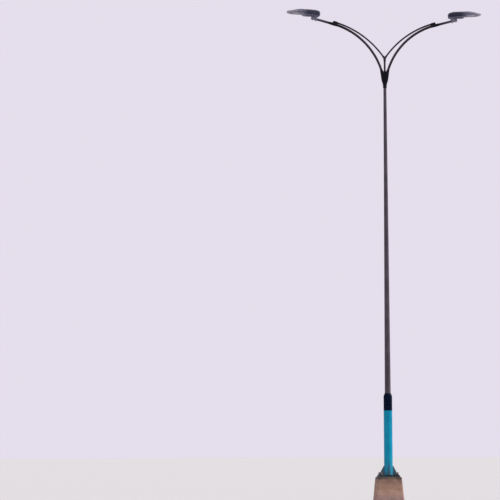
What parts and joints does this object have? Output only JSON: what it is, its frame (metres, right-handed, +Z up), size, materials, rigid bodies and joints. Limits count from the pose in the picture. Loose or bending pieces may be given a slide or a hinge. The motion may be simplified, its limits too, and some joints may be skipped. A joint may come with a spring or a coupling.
{
  "type": "twin-arm street lighting column",
  "caption": "Tall street lighting column on a concrete pedestal, with a coloured base tube, a dark collar, a tapered shaft and curved double-tube arms that carry slim lamps.",
  "frame": {"origin": "on the ground under the middle of the shaft, on the pedestal's flat underside", "axes": "+Z up along the shaft, +X out along the right arm, +Y along the row of columns, away from the viewer"},
  "size_m": [4.9386, 0.69, 12.2864],
  "materials": {
    "concrete": "board-cast concrete, weathered",
    "grout": "trowelled mortar",
    "plate_paint": "matt paint over galvanised steel, stained",
    "gusset_paint": "satin paint over galvanised steel",
    "turquoise_paint": "satin turquoise paint",
    "collar_paint": "satin near-black navy paint",
    "shaft_paint": "weathered dark grey paint",
    "hub_paint": "satin near-black paint",
    "tube_paint": "weathered dark grey paint",
    "upper_tube_paint": "weathered grey paint",
    "knot_paint": "satin dark grey paint",
    "sleeve_paint": "satin near-black paint",
    "spigot_paint": "galvanised grey paint",
    "knuckle_paint": "powder-coated casting",
    "lamp_paint": "powder-coated casting",
    "gear_cover_paint": "powder-coated pressing",
    "light_panel": "white coated circuit panel with clear lenses",
    "lens_glass": "toughened clear glass",
    "lens_frame_paint": "powder-coated frame"
  },
  "bodies": {
    "root": {"concrete_pedestal": "concrete", "grout_bed": "grout", "base_plate": "plate_paint", "base_gussets": "gusset_paint", "base_tube": "turquoise_paint", "handhole_frame": "turquoise_paint", "handhole_cover": "turquoise_paint", "reducer_collar": "collar_paint", "tapered_shaft": "shaft_paint", "arm_hub": "hub_paint", "centre_stem": "tube_paint", "fork_knot": "knot_paint", "left_lower_tube": "tube_paint", "left_upper_tube": "upper_tube_paint", "left_tip_sleeve": "sleeve_paint", "left_spigot": "spigot_paint", "left_knuckle": "knuckle_paint", "left_lamp_housing": "lamp_paint", "left_gear_cover": "gear_cover_paint", "left_light_panel": "light_panel", "left_lens_glass": "lens_glass", "left_lens_frame": "lens_frame_paint", "right_lower_tube": "tube_paint", "right_upper_tube": "upper_tube_paint", "right_tip_sleeve": "sleeve_paint", "right_spigot": "spigot_paint", "right_knuckle": "knuckle_paint", "right_lamp_housing": "lamp_paint", "right_gear_cover": "gear_cover_paint", "right_light_panel": "light_panel", "right_lens_glass": "lens_glass", "right_lens_frame": "lens_frame_paint"}
  },
  "joints": []
}
